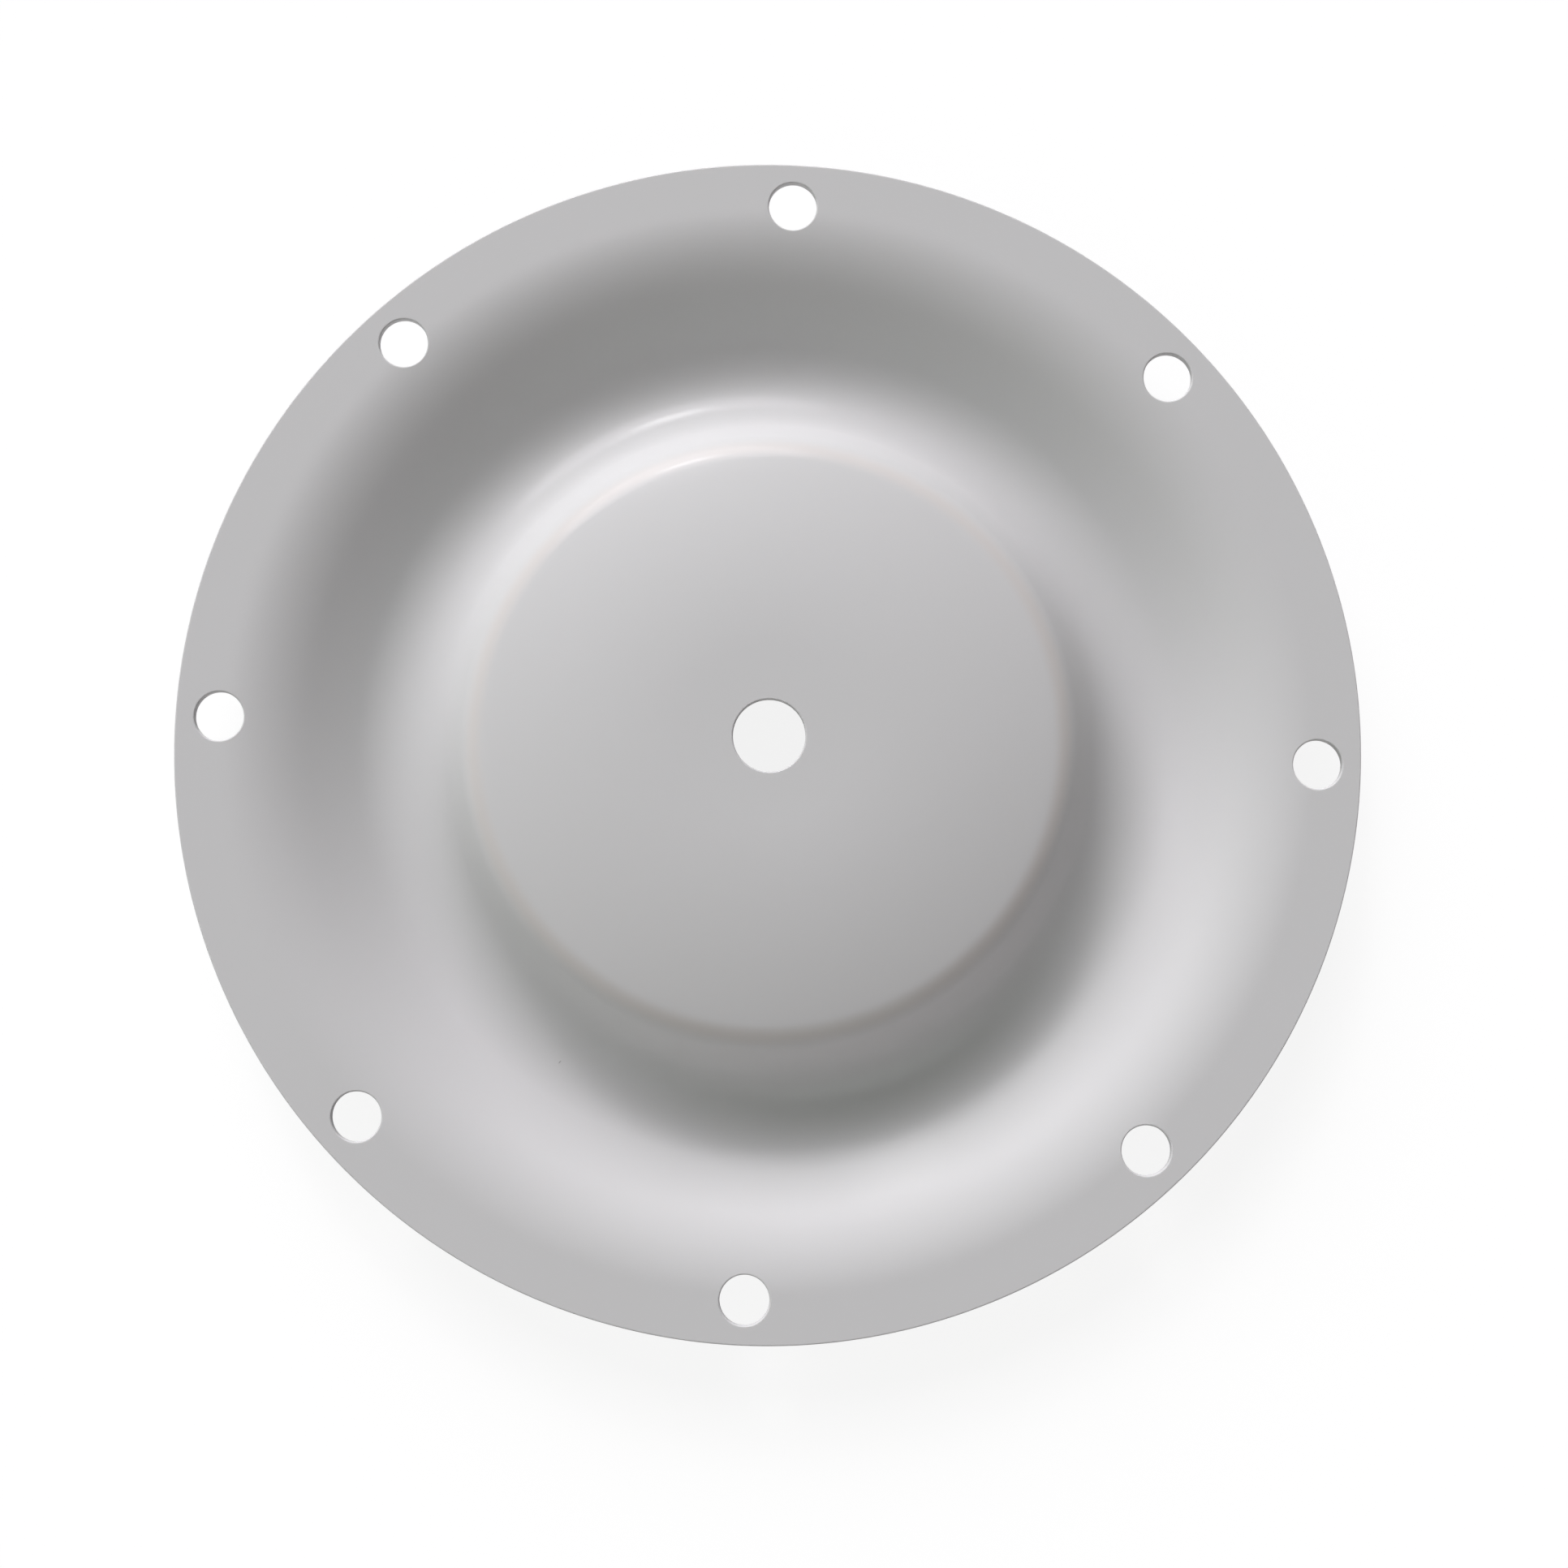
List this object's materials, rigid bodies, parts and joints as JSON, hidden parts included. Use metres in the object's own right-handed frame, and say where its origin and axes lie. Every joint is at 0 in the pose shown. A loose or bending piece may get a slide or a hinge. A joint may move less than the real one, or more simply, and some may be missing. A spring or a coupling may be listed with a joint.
{
  "type": "pump diaphragm",
  "caption": "Round moulded sheet diaphragm with a drilled bolting flange, one open roll that flexes and a crowned centre disc bored for the shaft's stud.",
  "frame": {"origin": "centre of the bolt circle in the flange's lower face", "axes": "+Z along the diaphragm's axis, out of the open side of the roll; +X through a bolt hole"},
  "size_m": [0.218, 0.218, 0.022],
  "materials": {
    "diaphragm": "white fluoropolymer, smooth satin and slightly waxy"
  },
  "bodies": {
    "root": {"diaphragm": "diaphragm"}
  },
  "joints": []
}
